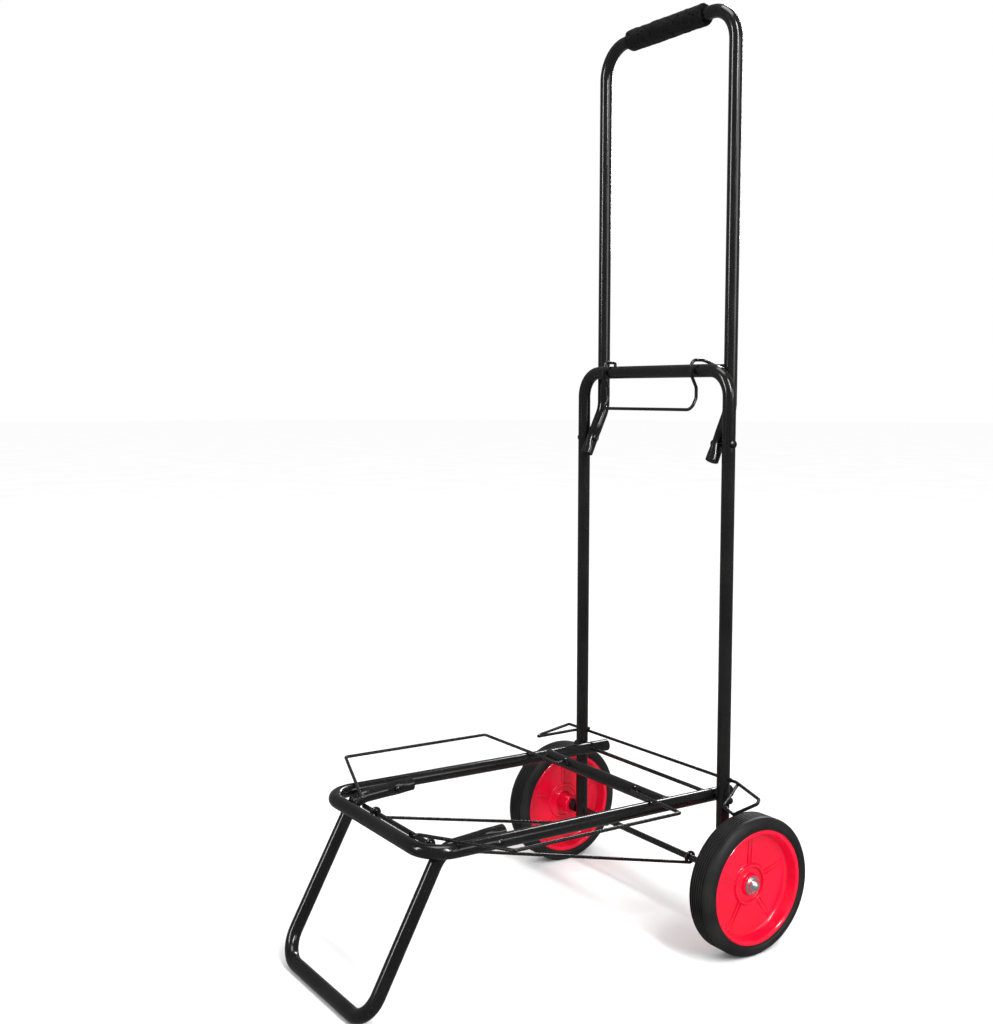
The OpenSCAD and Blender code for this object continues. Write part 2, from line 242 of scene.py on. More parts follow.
BLACK = (0.003, 0.003, 0.003)
RUBBED_BLACK = (0.007, 0.0067, 0.0065)

MATERIALS = {
    "black_paint": powder_coat("black_paint", BLACK, RUBBED_BLACK, gloss=0.13, rough=0.26, peel=0.06 * MM),
    "black_wire": powder_coat("black_wire", BLACK, RUBBED_BLACK, gloss=0.2, rough=0.34, peel=0.06 * MM),
    "dark_rod": powder_coat("dark_rod", (0.004, 0.004, 0.004), (0.01, 0.01, 0.0095),
                            gloss=0.2, rough=0.34, peel=0.04 * MM),
    "black_plastic": moulded_plastic("black_plastic", (0.004, 0.004, 0.004), (0.009, 0.009, 0.009),
                                     gloss=0.42, rough=0.6, grain=0.12 * MM),
    "rivet_steel": bright_metal("rivet_steel", (0.06, 0.06, 0.063), (0.025, 0.025, 0.026),
                                gloss=0.24, rough=0.4, grain=0.04 * MM),
    "chrome": bright_metal("chrome", (0.92, 0.92, 0.94), (0.74, 0.74, 0.77),
                           gloss=0.22, rough=0.38, grain=0.02 * MM),
    "foam": foam_rubber("foam"),
    "tyre_rubber": tyre_rubber("tyre_rubber"),
    "red_plastic": moulded_plastic("red_plastic", (0.74, 0.002, 0.03), (0.6, 0.0015, 0.022),
                                   gloss=0.16, rough=0.3, grain=0.03 * MM,
                                   specular=0.4, coat=0.4, coat_roughness=0.06),
    "nylon": moulded_plastic("nylon", (0.74, 0.73, 0.69), (0.66, 0.65, 0.6),
                             gloss=0.35, rough=0.5, grain=0.08 * MM),
}


# ---- Mesh building ----

def bent_path(points, bend, turn=math.radians(5), stride=4 * MM):
    """Closely spaced points along a path whose corners are rounded to a bend radius"""
    knots = [points[0]]
    for before, corner, after in zip(points, points[1:], points[2:]):
        u = (corner - before).normalized()
        w = (after - corner).normalized()
        angle = u.angle(w)
        centre = corner + (w - u).normalized() * bend / math.cos(angle / 2)
        arm = corner - u * bend * math.tan(angle / 2) - centre
        axis = u.cross(w).normalized()
        steps = max(5, math.ceil(angle / turn))
        knots += [centre + Matrix.Rotation(angle * i / steps, 3, axis) @ arm for i in range(steps + 1)]
    knots.append(points[-1])
    path = [knots[0]]
    for a, b in zip(knots, knots[1:]):
        parts = max(1, math.ceil((b - a).length / stride))
        path += [a.lerp(b, (i + 1) / parts) for i in range(parts)]
    return path


def ring_frames(path):
    """A centre and two square directions for each ring of a swept shape, without twist"""
    last = len(path) - 1
    side = None
    for i, centre in enumerate(path):
        along = (path[min(i + 1, last)] - path[max(i - 1, 0)]).normalized()
        if side is None:
            side = along.orthogonal()
        side = (side - along * side.dot(along)).normalized()
        yield centre, along, side, along.cross(side)


def ring(bm, centre, side, up, radius, sides):
    """A circle of new vertices"""
    turns = (2 * math.pi * i / sides for i in range(sides))
    return [bm.verts.new(centre + (side * math.cos(t) + up * math.sin(t)) * radius) for t in turns]


def skin(bm, rings, closed=False):
    """Joins neighbouring rings of vertices with faces"""
    pairs = list(zip(rings, rings[1:]))
    if closed:
        pairs.append((rings[-1], rings[0]))
    for low, high in pairs:
        for i in range(len(low)):
            j = (i + 1) % len(low)
            corners = list(dict.fromkeys((low[i], low[j], high[j], high[i])))
            if len(corners) > 2:
                bm.faces.new(corners)


def add_tube(bm, path, radius=TUBE_R, wall=TUBE_WALL, sides=40):
    """A hollow tube along a path, with its ends open"""
    outer = []
    inner = []
    for centre, _, side, up in ring_frames(path):
        outer.append(ring(bm, centre, side, up, radius, sides))
        inner.append(ring(bm, centre, side, up, radius - wall, sides))
    skin(bm, outer + inner[::-1], closed=True)


def add_wire(bm, path, radius=WIRE_R, sides=20, wobble=0.0):
    """A solid rod along a path, with rounded ends; wobble makes it as uneven as a weld bead"""
    frames = list(ring_frames(path))
    rings = []
    for i, (centre, along, side, up) in enumerate(frames):
        size = radius * (1 + wobble * noise.noise(centre * 900))
        if i in (0, len(frames) - 1):
            dome = along * size * WIRE_DOME * (-1 if i == 0 else 1)
            cap = [ring(bm, centre + dome * math.sin(t), side, up, size * math.cos(t), sides)
                   for t in (0, math.pi / 8, math.pi / 4, math.pi * 3 / 8)]
            cap.append([bm.verts.new(centre + dome)] * sides)
            rings += cap[::-1] if i == 0 else cap
        else:
            rings.append(ring(bm, centre, side, up, size, sides))
    skin(bm, rings)


def rounded(outline, fillet, steps=4, closed=False):
    """An outline of (along, radius) points in millimetres with its corners rounded; a third number in a
    point is its own fillet. The result is in metres."""
    points = [Vector(p[:2]) * MM for p in outline]
    fillets = [(p[2] if len(p) > 2 else fillet) * MM for p in outline]
    count = len(points)
    result = []
    for i, corner in enumerate(points):
        if not closed and i in (0, count - 1):
            result.append(corner)
            continue
        back = points[i - 1] - corner
        ahead = points[(i + 1) % count] - corner
        angle = back.angle(ahead)
        if angle > math.radians(176) or fillets[i] == 0:
            result.append(corner)
            continue
        reach = min(fillets[i] / math.tan(angle / 2), back.length * 0.48, ahead.length * 0.48)
        start = corner + back.normalized() * reach
        end = corner + ahead.normalized() * reach
        for k in range(steps + 1):
            t = k / steps
            result.append(start * (1 - t) ** 2 + corner * 2 * t * (1 - t) + end * t * t)
    return result


def add_lathe(bm, outline, at, along, sides=64, closed=False):
    """Turns an outline of (along, radius) points round an axis"""
    side = along.orthogonal().normalized()
    up = along.cross(side)
    rings = []
    for a, r in outline:
        centre = at + along * a
        rings.append([bm.verts.new(centre)] * sides if r < 1e-6 else ring(bm, centre, side, up, r, sides))
    skin(bm, rings, closed)


def add_block(bm, size, place, bevel):
    """A box with rounded edges, put in place by a matrix"""
    block = bmesh.new()
    bmesh.ops.create_cube(block, size=1, matrix=Matrix.Diagonal((*size, 1)))
    bmesh.ops.bevel(block, geom=block.edges[:], offset=bevel, segments=2, affect="EDGES", profile=0.6)
    block.transform(place)
    copy = bpy.data.meshes.new("block")
    block.to_mesh(copy)
    block.free()
    bm.from_mesh(copy)
    bpy.data.meshes.remove(copy)


def mirror_x(bm):
    """Adds the mirror image of everything on the other side of the truck's middle plane"""
    made = bmesh.ops.duplicate(bm, geom=bm.verts[:] + bm.edges[:] + bm.faces[:])["geom"]
    faces = [g for g in made if isinstance(g, bmesh.types.BMFace)]
    for v in (g for g in made if isinstance(g, bmesh.types.BMVert)):
        v.co.x = -v.co.x
    bmesh.ops.reverse_faces(bm, faces=faces)


def squash(bm, at, along, reach, share):
    """Presses a tube flat across X round a rivet; it widens as it flattens"""
    spread = 0.35
    for v in bm.verts:
        if (v.co.x > 0) != (at.x > 0):
            continue
        away = v.co - at
        distance = abs(away.dot(along))
        if distance > reach or away.length > reach + 2 * TUBE_R:
            continue
        weight = share * (0.5 + 0.5 * math.cos(math.pi * distance / reach))
        across = away - along * away.dot(along)
        across.x *= -weight
        across.y *= weight * spread
        across.z *= weight * spread
        v.co += across


def piece(name, bm, slot, body, *replaced, crease=math.radians(38)):
    """Makes the finished object: smooth faces, sharp creases, its material, its body and what it replaces"""
    bmesh.ops.recalc_face_normals(bm, faces=bm.faces[:])
    for f in bm.faces:
        f.smooth = True
    for e in bm.edges:
        e.smooth = e.calc_face_angle(0) < crease
    mesh = bpy.data.meshes.new(name)
    bm.to_mesh(mesh)
    bm.free()
    obj = bpy.data.objects.new(name, mesh)
    bpy.context.scene.collection.objects.link(obj)
    obj.data.materials.append(MATERIALS[slot])
    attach(obj, body)
    if replaced:
        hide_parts(*replaced)
    return obj


def symmetric(half):
    """A path from the left end to the right end, given its right half"""
    return [Vector((-p.x, p.y, p.z)) for p in reversed(half)] + half


def mm(*values):
    """A point given in millimetres"""
    return Vector(values) * MM


# ---- Small parts that repeat ----

def add_plug(bm, end, inward):
    """A push-in end plug: a domed head over the tube's end and a plain shank inside it"""
    rim = TUBE_R / MM
    shank = (TUBE_R - TUBE_WALL) / MM - 0.02
    depth = 12
    outline = [(-2.0, 0), (-1.9, 3.5, 1), (-1.4, 6.6, 1), (-0.7, rim, 0.5), (0, rim, 0.15), (0, shank, 0.1),
               (depth - 1, shank, 0.5), (depth, shank - 1, 0.5), (depth, 0)]
    add_lathe(bm, rounded(outline, 0.3), end, inward.normalized(), sides=40)


def add_rivet(bm, at, inner_x, outer_x):
    """A rivet along X: a round factory head outside, and a set head with its dimple inside"""
    head = [(-0.05, 2.4), (0, 5.0, 0.15), (0.9, 4.7, 0.6), (2.0, 2.9, 0.8), (RIVET_HEAD / MM, 0)]
    set_head = [(-0.05, 2.4), (0, 4.8, 0.15), (1.1, 4.5, 0.4), (1.9, 3.0, 0.5), (1.7, 1.4, 0.3), (1.3, 0)]
    add_lathe(bm, rounded(head, 0.5), Vector((outer_x, at.y, at.z)), X_AXIS, sides=32)
    add_lathe(bm, rounded(set_head, 0.4), Vector((inner_x, at.y, at.z)), -X_AXIS, sides=32)
    add_wire(bm, [Vector((x, at.y, at.z)) for x in (inner_x, outer_x)], RIVET_R, sides=24)


def add_ring(bm, low_x, high_x, outer, inner, fillet=0.4):
    """A ring round the axle with rounded edges; its radii are in millimetres"""
    width = (high_x - low_x) / MM
    outline = [(0, inner), (0, outer), (width, outer), (width, inner)]
    start = Vector((low_x, AXLE.y, AXLE.z))
    add_lathe(bm, rounded(outline, fillet, closed=True), start, X_AXIS, sides=56, closed=True)


def add_weld(bm, points, radius=1.3 * MM):
    """A bead of weld metal along a short path"""
    add_wire(bm, bent_path(points, 1 * MM, stride=0.7 * MM), radius, sides=12, wobble=0.7)


# ---- Main frame ----

def build_main_frame():
    """The U-shaped tube with its foot plugs, and the cord hooks' wire welded behind it"""
    bend = 32 * MM
    low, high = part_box("main_frame")
    half = high.x - TUBE_R
    foot = Vector((half, AXLE_Y, low.z))
    bm = bmesh.new()
    add_tube(bm, bent_path(symmetric([Vector((half, AXLE_Y, high.z - TUBE_R)), foot]), bend))
    for side in (-1, 1):
        squash(bm, Vector((side * half, AXLE_Y, HANDLE_PIVOT.z)), Z_AXIS, reach=11 * MM, share=0.05)
    piece("frame_tube", bm, "black_paint", "frame", "main_frame")

    bm = bmesh.new()
    add_plug(bm, foot, Z_AXIS)
    mirror_x(bm)
    piece("frame_foot_plugs", bm, "black_plastic", "frame", "frame_plugs")

    hook_y = AXLE_Y + TUBE_R + WIRE_R
    wire = [mm(x, y, z) + Vector((0, hook_y, 0)) for x, y, z in (
        (-150, -2, 191.2), (-153, -13, 191), (-206, -37, 173), (-213.3, -27, 173), (-181, 0, 191.5),
        (150, 0, 194.5), (219.4, -28, 195), (176, -30, 168), (155, -26, 172), (155, -3.5, 192.7))]
    bm = bmesh.new()
    add_wire(bm, bent_path(wire, bend=4 * MM))
    piece("cord_hooks", bm, "black_wire", "frame", "cord_hook_wire")

    weld_z = 195 * MM
    weld_reach = X_AXIS * 5 * MM
    bm = bmesh.new()
    for lift in (-1.5 * MM, 1.5 * MM):
        at = Vector((half, hook_y - 1.4 * MM, weld_z + lift))
        add_weld(bm, [at - weld_reach, at + weld_reach])
    mirror_x(bm)
    piece("hook_welds", bm, "black_paint", "frame")
    return half


def build_pivots(frame_half):
    """The rod that the platform turns on, with its caps, and the handle's rivets"""
    low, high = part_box("platform_pivot_rod")
    rod_r = (high.z - low.z) / 2
    bm = bmesh.new()
    add_wire(bm, [Vector((x, DECK_PIVOT.y, DECK_PIVOT.z)) for x in (low.x, high.x)], rod_r, sides=32)
    piece("pivot_rod", bm, "dark_rod", "frame", "platform_pivot_rod")

    outline = [(0, 2.6), (0, 4.5), (0.8, 4.5), (1.2, 4.1), (5.0, 4.1, 1), (6.4, 2.9, 1.2), (7, 0)]
    cap_at = Vector((frame_half + TUBE_R, DECK_PIVOT.y, DECK_PIVOT.z))
    bm = bmesh.new()
    add_lathe(bm, rounded(outline, 0.3), cap_at, X_AXIS, sides=40)
    mirror_x(bm)
    piece("pivot_rod_caps", bm, "black_plastic", "frame", "pivot_caps")

    handle_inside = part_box("handle_tube")[1].x - 2 * TUBE_R
    bm = bmesh.new()
    add_rivet(bm, HANDLE_PIVOT, handle_inside + 0.72 * MM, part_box("handle_rivets")[1].x - RIVET_HEAD)
    mirror_x(bm)
    piece("handle_pivot_rivets", bm, "rivet_steel", "frame", "handle_rivets")


def build_axle():
    """The axle with its spacers, washers and domed nuts"""
    low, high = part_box("axle")
    bm = bmesh.new()
    add_wire(bm, [Vector((x, AXLE.y, AXLE.z)) for x in (low.x + 1 * MM, high.x - 1 * MM)], AXLE_R, sides=32)
    piece("wheel_axle", bm, "dark_rod", "frame", "axle")

    bore = AXLE_R / MM
    spacer_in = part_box("main_frame")[1].x
    bm = bmesh.new()
    add_ring(bm, spacer_in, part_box("axle_spacers")[1].x, outer=8.0, inner=bore, fillet=0.7)
    mirror_x(bm)
    piece("wheel_spacers", bm, "black_plastic", "frame", "axle_spacers")

    washer_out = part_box("axle_washers")[1].x
    washer_t = 1.5 * MM
    bm = bmesh.new()
    add_ring(bm, washer_out - washer_t, washer_out, outer=11.0, inner=bore, fillet=0.35)
    mirror_x(bm)
    piece("wheel_washers", bm, "chrome", "frame", "axle_washers")

    outline = [(0, 4.2), (0, 8.9, 0.3), (0.9, 8.9, 0.3), (1.1, 8.1, 0.3), (3.2, 7.9, 1.6), (6.2, 5.8, 2.2),
               (7.8, 2.2, 1.5), (8.0, 0)]
    bm = bmesh.new()
    add_lathe(bm, rounded(outline, 0.4), Vector((washer_out, AXLE.y, AXLE.z)), X_AXIS, sides=56)
    mirror_x(bm)
    piece("cap_nuts", bm, "chrome", "frame", "axle_nuts")


# ---- Handle and latch ----

def build_handle():
    """The U-shaped handle with its cranked lower ends, their plugs and the foam grip"""
    bend = 41 * MM
    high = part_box("handle_tube")[1]
    half = high.x - TUBE_R
    back_y = high.y - TUBE_R
    top_z = high.z - TUBE_R
    rise = 40 * MM
    slope = Vector((0, back_y - AXLE_Y, rise)).normalized()
    pivot = Vector((half, AXLE_Y, HANDLE_PIVOT.z))
    end = pivot - slope * TAIL
    kink = Vector((half, back_y, pivot.z + rise))
    bm = bmesh.new()
    add_tube(bm, bent_path(symmetric([Vector((half, back_y, top_z)), kink, end]), bend))
    for side in (-1, 1):
        squash(bm, Vector((side * half, pivot.y, pivot.z)), slope, FLAT_REACH, FLAT_SHARE)
    piece("handle_bow", bm, "black_paint", "handle", "handle_tube")

    bm = bmesh.new()
    add_plug(bm, end, slope)
    mirror_x(bm)
    piece("handle_end_plugs", bm, "black_plastic", "handle", "handle_plugs")
    build_grip(Vector((0, back_y, top_z)))


def build_grip(centre):
    """A foam sleeve that has been handled: lumpy along its length, with torn edges at its ends"""
    low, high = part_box("foam_grip")
    half = high.x
    outer = (high.z - low.z) / 2
    inner = TUBE_R + 0.1 * MM
    torn_reach = 3 * MM
    rings, sides = 200, 110
    bm = bmesh.new()
    shells = []
    for i in range(rings + 1):
        x = half * (2 * i / rings - 1)
        outward = 1 if x > 0 else -1
        edge = 1 - min(1.0, (half - abs(x)) / torn_reach)
        loop = []
        for k in range(sides):
            t = 2 * math.pi * k / sides
            spoke = Vector((0, math.cos(t), math.sin(t)))
            spot = Vector((x, 0, 0)) + spoke * outer
            lumps = noise.fractal(spot * 70, 0.8, 2.0, 4) * 0.7 * MM
            nicks = max(0.0, noise.noise(spot * 330 + Vector((3, 7, 1))) - 0.25) * 3.4 * MM
            torn = noise.fractal(spot * 150, 0.7, 2.0, 4) * 2.2 * MM * edge
            rounding = (1 - math.sqrt(1 - edge ** 2)) * 2 * MM
            radius = outer - 0.6 * MM + lumps - nicks - rounding
            radius = min(outer + 0.5 * MM, max(inner + 2 * MM, radius))
            loop.append(bm.verts.new(centre + Vector((x + torn * outward, 0, 0)) + spoke * radius))
        shells.append(loop)
    bore_half = half - 1 * MM
    bore = [ring(bm, centre + Vector((x, 0, 0)), Vector((0, 1, 0)), Z_AXIS, inner, sides)
            for x in (bore_half, -bore_half)]
    skin(bm, shells + bore, closed=True)
    grip = piece("grip_sleeve", bm, "foam", "handle", "foam_grip", crease=math.radians(70))


def build_latch():
    """The bent wire that hooks over the frame's crossbar, with its pins in the handle's legs"""
    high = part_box("main_frame")[1]
    crossbar = Vector((0, AXLE_Y, high.z - TUBE_R))
    pin_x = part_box("latch_bail")[1].x - 0.5 * MM
    half = [crossbar + mm(x, y, z) for x, y, z in (
        (84, -10.5, -47), (84, -2.5, -33), (84, -2.5, -20), (84, -11, -5), (84, -11, 13), (84, 9, 13),
        (96, 19, 6))]
    half.append(Vector((pin_x, half[-1].y, half[-1].z)))
    bm = bmesh.new()
    add_wire(bm, bent_path(symmetric(half), bend=8 * MM, stride=8 * MM))
    piece("latch_wire", bm, "black_wire", "latch", "latch_bail")


# ---- Platform ----

DECK_FRONT_S = 403 * MM
DECK_TAIL_S = -28 * MM
CROSSBAR_S = 72.5 * MM
# The lugs stand behind the front bar and in front of the crossbar; each starts here and is LUG_T thick
LUG_T = 3 * MM
LUG_FRONT_S = DECK_FRONT_S - TUBE_R - LUG_T
LUG_REAR_S = CROSSBAR_S + TUBE_R
WING_HALF = joint_at("wing_right_fold").x
WING_H = 5 * MM
WELD_R = 1.1 * MM


def build_platform():
    """The U-shaped tube with its plugs, the crossbar, the wings' lugs and the leg's rivets"""
    bend = 34 * MM
    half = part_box("platform_frame")[1].x - TUBE_R
    bm = bmesh.new()
    add_tube(bm, bent_path(symmetric([deck(half, DECK_FRONT_S), deck(half, DECK_TAIL_S)]), bend))
    piece("deck_tube", bm, "black_paint", "platform", "platform_frame")

    bm = bmesh.new()
    add_plug(bm, deck(half, DECK_TAIL_S), deck(0, 1) - deck(0, 0))
    mirror_x(bm)
    piece("deck_end_plugs", bm, "black_plastic", "platform", "platform_plugs")

    build_crossbar(half)
    build_lugs()

    leg_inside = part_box("leg_tube")[1].x - 2 * TUBE_R
    bm = bmesh.new()
    add_rivet(bm, LEG_PIVOT, leg_inside + 0.2 * MM, half + TUBE_R - 0.1 * MM)
    mirror_x(bm)
    piece("leg_pivot_rivets", bm, "rivet_steel", "platform", "leg_rivets")


def build_crossbar(deck_half):
    """A tube welded between the side tubes, with its ends cut to sit against them"""
    bm = bmesh.new()
    square_x = deck_half - TUBE_R - 1 * MM
    add_tube(bm, [Vector((x, 0, 0)) for x in (-deck_half, -square_x, 0, square_x, deck_half)])
    for v in bm.verts:
        seat = deck_half - math.sqrt(max(0.0, (TUBE_R - 0.3 * MM) ** 2 - v.co.z ** 2))
        x = max(-seat, min(seat, v.co.x))
        v.co = deck(x, CROSSBAR_S + v.co.y, v.co.z)
    piece("deck_crossbar", bm, "black_paint", "platform", "platform_crossbar")

    bm = bmesh.new()
    for start in (-78, 102):
        bead = []
        for step in range(27):
            t = math.radians(start + step * 6)
            x = deck_half - (TUBE_R + 0.2 * MM) * abs(math.cos(t))
            bead.append(deck(x, CROSSBAR_S + TUBE_R * math.cos(t), TUBE_R * math.sin(t)))
        add_wire(bm, bead, WELD_R, sides=12, wobble=0.7)
    mirror_x(bm)
    piece("crossbar_welds", bm, "black_paint", "platform")


def build_lugs():
    """Small plates welded to the front bar and the crossbar, which the wings' ends turn in"""
    plate_r = 5 * MM
    neck = 6 * MM
    bore = WIRE_R + 0.05 * MM
    chamfer = 0.4 * MM
    sides = 48
    turns = [2 * math.pi * k / sides for k in range(sides)]
    bm = bmesh.new()
    for s in (LUG_FRONT_S, LUG_REAR_S):
        rings = []
        for depth, inset in ((0, chamfer), (chamfer, 0), (LUG_T - chamfer, 0), (LUG_T, chamfer)):
            loop = []
            for t in turns:
                c, n = math.cos(t), math.sin(t)
                reach = plate_r if n >= 0 else min(plate_r / max(abs(c), 1e-6), -neck / n)
                reach -= inset
                loop.append(bm.verts.new(deck(WING_HALF + c * reach, s + depth, WING_H + n * reach)))
            rings.append(loop)
        for depth in (LUG_T, 0):
            rings.append([bm.verts.new(deck(WING_HALF + math.cos(t) * bore, s + depth,
                                            WING_H + math.sin(t) * bore)) for t in turns])
        skin(bm, rings, closed=True)
    mirror_x(bm)
    piece("wing_hinge_lugs", bm, "black_paint", "platform", "wing_lugs")

    bm = bmesh.new()
    for s in (LUG_FRONT_S + LUG_T, LUG_REAR_S):
        for h in (2.4 * MM, -1.4 * MM):
            add_weld(bm, [deck(WING_HALF - plate_r, s, h), deck(WING_HALF + plate_r, s, h)], WELD_R)
    mirror_x(bm)
    piece("lug_welds", bm, "black_paint", "platform")


def build_wings():
    """The side wings, each one bent wire; the left one is narrower, to fold inside the right one"""
    rise = math.radians(6.1)
    reach = 124 * MM
    outer_front_s = 345 * MM
    outer_rear_s = 120 * MM

    def spot(side, u, s):
        """A point of a wing: u out from its hinge and s in front of the pivot rod"""
        return deck(side * (WING_HALF + u * math.cos(rise)), s, WING_H + u * math.sin(rise))

    for name, side, nest in (("wing_left", -1, 6 * MM), ("wing_right", 1, 0)):
        points = [spot(side, 0, LUG_FRONT_S + LUG_T - 0.5 * MM),
                  spot(side, 0, LUG_FRONT_S - 6 * MM - nest),
                  spot(side, reach, outer_front_s - nest),
                  spot(side, reach, outer_rear_s + nest),
                  spot(side, 0, LUG_REAR_S + LUG_T + 4 * MM + nest),
                  spot(side, 0, LUG_REAR_S + 0.5 * MM)]
        bm = bmesh.new()
        add_wire(bm, bent_path(points, bend=4 * MM, stride=20 * MM))
        piece(name + "_wire", bm, "black_wire", name, name)


# ---- Front leg and braces ----

def build_leg():
    """The U-shaped front leg with its cranked upper ends and their plugs"""
    bend = 32 * MM
    low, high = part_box("leg_tube")
    half = high.x - TUBE_R
    droop = math.radians(3)
    crank = 57 * MM
    ahead = Vector((0, -math.cos(droop), -math.sin(droop)))
    pivot = Vector((half, LEG_PIVOT.y, LEG_PIVOT.z))
    kink = pivot + ahead * crank
    end = pivot - ahead * TAIL
    foot = Vector((half, low.y + TUBE_R, low.z + TUBE_R))
    bm = bmesh.new()
    add_tube(bm, bent_path(symmetric([foot, kink, end]), bend))
    for side in (-1, 1):
        squash(bm, Vector((side * half, pivot.y, pivot.z)), ahead, FLAT_REACH, FLAT_SHARE)
    piece("leg_bow", bm, "black_paint", "leg", "leg_tube")

    bm = bmesh.new()
    add_plug(bm, end, ahead)
    mirror_x(bm)
    piece("leg_end_plugs", bm, "black_plastic", "leg", "leg_plugs")


def build_braces():
    """Two wires with an eye at each end: one eye round the axle, the other round the leg's rod"""
    rod_r = 3 * MM
    drop = math.radians(12.5)
    rod_at = LEG_PIVOT + Vector((0, -math.cos(drop), -math.sin(drop))) * 50 * MM
    rear_half, rear_eye = 82 * MM, AXLE_R + WIRE_R + 0.45 * MM
    front_half, front_eye = 62 * MM, rod_r + WIRE_R + 0.25 * MM
    turns = math.radians(335)
    steps = 40
    for name, side in (("left", -1), ("right", 1)):
        rear = Vector((side * rear_half, AXLE.y, AXLE.z))
        front = Vector((side * front_half, rod_at.y, rod_at.z))
        along = (front - rear).normalized()
        below = X_AXIS.cross(along).normalized()
        path = []
        for i in range(steps + 1):
            spin = Matrix.Rotation(turns * (i / steps - 1), 3, -X_AXIS)
            path.append(rear + spin @ below * rear_eye)
        start = path[-1]
        end = front + below * front_eye
        path += [start.lerp(end, k / 12) for k in range(1, 12)]
        for i in range(steps + 1):
            spin = Matrix.Rotation(turns * i / steps, 3, -X_AXIS)
            path.append(front + spin @ below * front_eye)
        bm = bmesh.new()
        add_wire(bm, path)
        piece("brace_wire_" + name, bm, "black_wire", "braces", "brace_" + name)

    low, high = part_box("brace_rod")
    ends = (low.x + 1 * MM, high.x - 1 * MM)
    bm = bmesh.new()
    add_wire(bm, [Vector((x, rod_at.y, rod_at.z)) for x in ends], rod_r, sides=28)
    piece("leg_brace_rod", bm, "dark_rod", "braces", "brace_rod")


# ---- Wheels ----

def tyre_outline():
    """The tyre's section: a rounded tread with fine grooves, and sidewalls with a raised bead"""
    points = [(1.2, 68.5), (0.9, 70.5, 0.5), (0.0, 71.5, 0.5), (0.0, 75.5, 3), (1.6, 79.6, 4), (5.0, 82.5, 3)]
    groove_pitch = 3.5
    for i in range(6):
        start = 5.8 + groove_pitch * i
        points += [(start, 82.5, 0.3), (start + 0.2, 81.0, 0.2), (start + 1.5, 81.0, 0.2),
                   (start + 1.7, 82.5, 0.3)]
    points += [(30.5, 82.5, 3), (33.9, 79.6, 4), (35.5, 75.5, 3), (35.5, 71.5, 0.5), (34.6, 70.5, 0.5),
               (34.3, 68.5)]
    return rounded(points, 0.3, closed=True)


def hub_outline():
    """The hub's section: a rim with a rolled lip, a dished web with a ring, and the boss round the bush"""
    points = [(23, 7), (23, 12.0, 0.8), (18.8, 13.6, 1.6), (18.4, 20.2, 1.2), (21.6, 21.0, 0.7),
              (21.6, 24.0, 0.8), (18.6, 25.4, 1.6), (20.2, 59.5, 4.5), (33.0, 63.0, 1.2), (34.4, 64.2, 0.9),
              (34.4, 67.6, 0.8), (33.6, 68.5, 0.4), (1.9, 68.5, 0.4), (1.1, 67.6, 0.8), (1.1, 64.2, 0.9),
              (2.5, 63.0, 1.2), (15.6, 59.5, 4.5), (15.2, 25.4, 1.6), (13, 24.2, 0.8), (13, 21.0, 0.8),
              (14.8, 20.0, 1.2), (14.8, 13.4, 1.6), (-7, 12.4, 0.8), (-7, 7)]
    return rounded(points, 0.3, closed=True)


def add_ribs(bm, at, outward):
    """Five pairs of thin ribs on both faces of the web, from the ring to the rim"""
    inner_r, outer_r = 23 * MM, 61.5 * MM
    size = (3.8 * MM, 1.5 * MM, outer_r - inner_r)
    pairs = 5
    for i in range(pairs):
        turn = Matrix.Rotation(math.tau * i / pairs * outward.x, 4, "X")
        for offset in (-2.6 * MM, 2.6 * MM):
            for depth in (18.4 * MM, 16.4 * MM):
                middle = Vector((outward.x * depth, offset, (inner_r + outer_r) / 2))
                place = Matrix.Translation(at) @ turn @ Matrix.Translation(middle)
                add_block(bm, size, place, bevel=0.5 * MM)


def build_wheels():
    """A tyre, a hub and a bush on each side"""
    for name, side in (("left", -1), ("right", 1)):
        body = "wheel_" + name
        outward = X_AXIS * side
        at = Vector((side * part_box("tyre_right")[0].x, AXLE.y, AXLE.z))
        bm = bmesh.new()
        add_lathe(bm, tyre_outline(), at, outward, sides=160, closed=True)
        piece("tyre_tread_" + name, bm, "tyre_rubber", body, "tyre_" + name)

        bm = bmesh.new()
        add_lathe(bm, hub_outline(), at, outward, sides=144, closed=True)
        add_ribs(bm, at, outward)
        piece("hub_disc_" + name, bm, "red_plastic", body, "hub_" + name)

        low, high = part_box("bush_" + name)
        bm = bmesh.new()
        add_ring(bm, low.x, high.x, outer=6.98, inner=4.05)
        piece("bush_sleeve_" + name, bm, "nylon", body, "bush_" + name)


# ---- Stage, light and camera ----

def floor_material():
    """Pale paper with a faint cloudiness"""
    m = plain("floor_paper", specular=0)
    fibre = texture(m, "ShaderNodeTexNoise", 3, Detail=4)
    surface(m, ramp(m, fibre.outputs["Fac"], (0.96, 0.96, 0.96), (0.99, 0.99, 0.99)),
            ramp(m, fibre.outputs["Fac"], 0.75, 0.85))
    return m


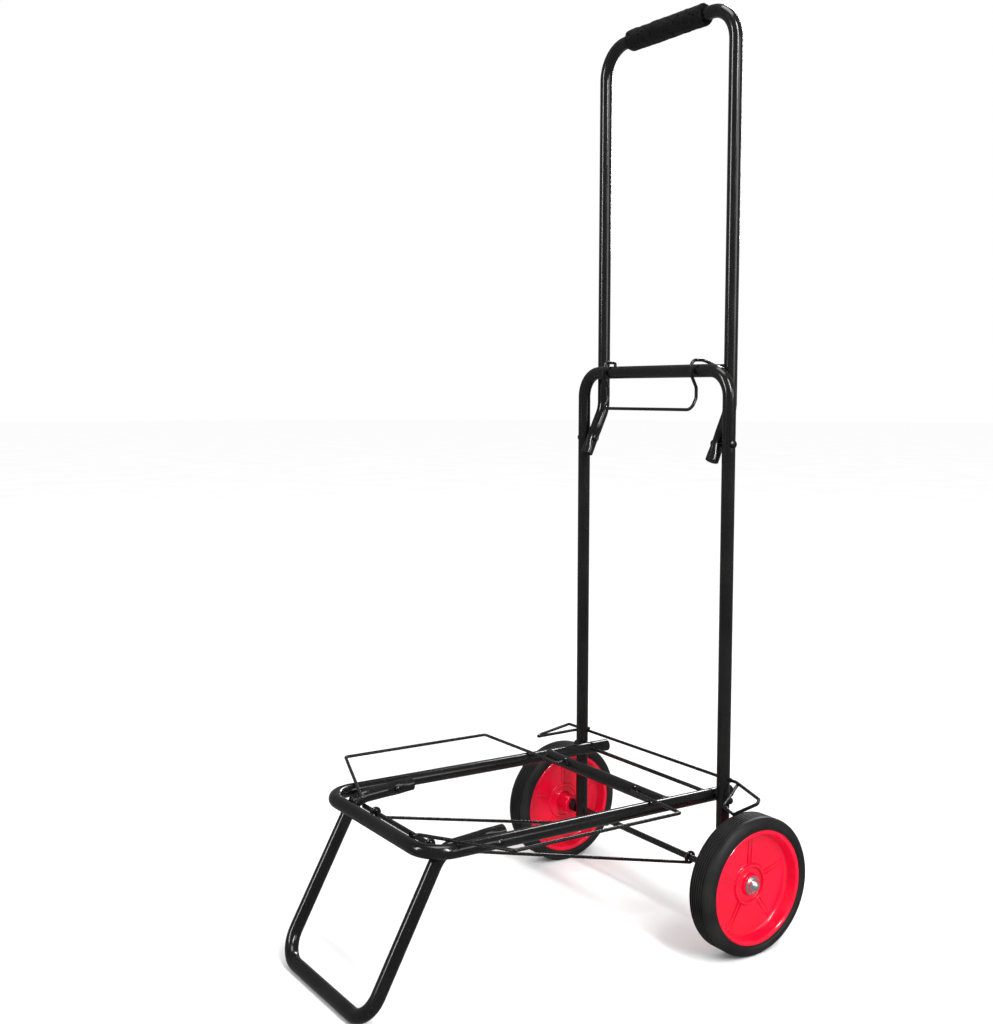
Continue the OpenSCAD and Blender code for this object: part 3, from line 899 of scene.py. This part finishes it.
def build_stage():
    """A round floor, and a white world that is dimmer in reflections"""
    bm = bmesh.new()
    bmesh.ops.create_circle(bm, cap_ends=True, segments=96, radius=30)
    mesh = bpy.data.meshes.new("floor")
    bm.to_mesh(mesh)
    bm.free()
    floor = bpy.data.objects.new("floor", mesh)
    bpy.context.scene.collection.objects.link(floor)
    mesh.materials.append(floor_material())
    floor.visible_glossy = False

    world = bpy.data.worlds.new("studio")
    world.use_nodes = True
    nodes, link = world.node_tree.nodes, world.node_tree.links
    background = nodes["Background"]
    background.inputs["Color"].default_value = (1, 1, 1, 1)
    rays = nodes.new("ShaderNodeLightPath")
    strength = nodes.new("ShaderNodeMapRange")
    strength.inputs["To Min"].default_value = 1.0
    strength.inputs["To Max"].default_value = 0.2
    link.new(rays.outputs["Is Glossy Ray"], strength.inputs["Value"])
    link.new(strength.outputs["Result"], background.inputs["Strength"])
    bpy.context.scene.world = world


def softbox(name, at, target, width, height, power, lights_floor=False):
    """An area light; one that does not light the floor shows only in reflections"""
    light = bpy.data.lights.new(name, "AREA")
    light.shape = "RECTANGLE"
    light.size = width
    light.size_y = height
    light.energy = power
    obj = bpy.data.objects.new(name, light)
    obj.location = at
    obj.rotation_euler = (Vector(target) - Vector(at)).to_track_quat("-Z", "Y").to_euler()
    obj.visible_diffuse = lights_floor
    bpy.context.scene.collection.objects.link(obj)


def build_lights():
    """A key light, and softboxes that draw highlights on the tubes"""
    middle = (0, 0, 0.5)
    softbox("key", (2.6, -0.2, 2.6), middle, 0.35, 2.2, 100, lights_floor=True)
    softbox("window", (2.9, 1.1, 1.3), middle, 1.5, 1.2, 18)
    softbox("fill", (-0.6, -3.0, 1.8), middle, 0.4, 1.6, 45)
    softbox("rim", (-1.6, 2.6, 2.2), middle, 0.35, 2.2, 60)
    softbox("overhead", (0, 0, 3.6), (0, 0, 0), 1.6, 1.6, 40)


def build_camera():
    """Looks at the truck from its front right, from a little above its middle"""
    place = (1.1942, -0.8459, 0.6597)
    yaw, pitch, roll = (math.radians(a) for a in (56.02, -4.63, 0.07))
    ahead = Vector((-math.sin(yaw) * math.cos(pitch), math.cos(yaw) * math.cos(pitch), math.sin(pitch)))
    camera = bpy.data.cameras.new("camera")
    camera.sensor_fit = "HORIZONTAL"
    camera.sensor_width = 36
    camera.lens = 44.81
    camera.shift_y = -0.018
    obj = bpy.data.objects.new("camera", camera)
    turn = ahead.to_track_quat("-Z", "Y").to_matrix() @ Matrix.Rotation(roll, 3, "Z")
    obj.matrix_world = Matrix.Translation(place) @ turn.to_4x4()
    bpy.context.scene.collection.objects.link(obj)
    bpy.context.scene.camera = obj


build_camera()
build_stage()
build_lights()
bpy.context.scene.view_settings.view_transform = "Standard"

frame_half = build_main_frame()
build_pivots(frame_half)
build_axle()
build_handle()
build_latch()
build_platform()
build_wings()
build_leg()
build_braces()
build_wheels()
